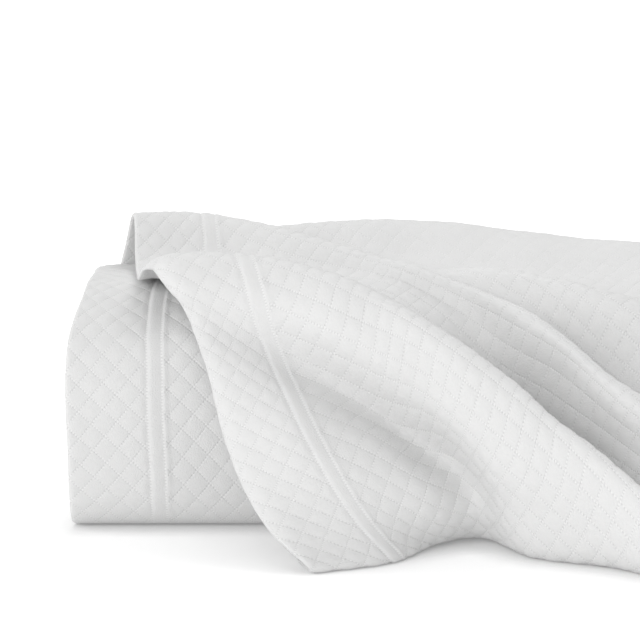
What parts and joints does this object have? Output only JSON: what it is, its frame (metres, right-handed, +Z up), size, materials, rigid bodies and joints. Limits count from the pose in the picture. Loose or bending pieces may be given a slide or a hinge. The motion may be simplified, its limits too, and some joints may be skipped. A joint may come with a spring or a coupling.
{
  "type": "quilted coverlet",
  "caption": "White matelasse cotton coverlet with a quilted diamond pattern, folded into a stack with its top layer thrown open over the front in soft bias folds.",
  "frame": {"origin": "middle of the footprint, at the surface that the coverlet rests on", "axes": "+Z up, -Y towards the front over which the top layer hangs, +X to the right as seen from the front"},
  "size_m": [0.6422, 0.4358, 0.2571],
  "materials": {
    "cotton": "matte"
  },
  "bodies": {
    "root": {"coverlet": "cotton"}
  },
  "joints": []
}
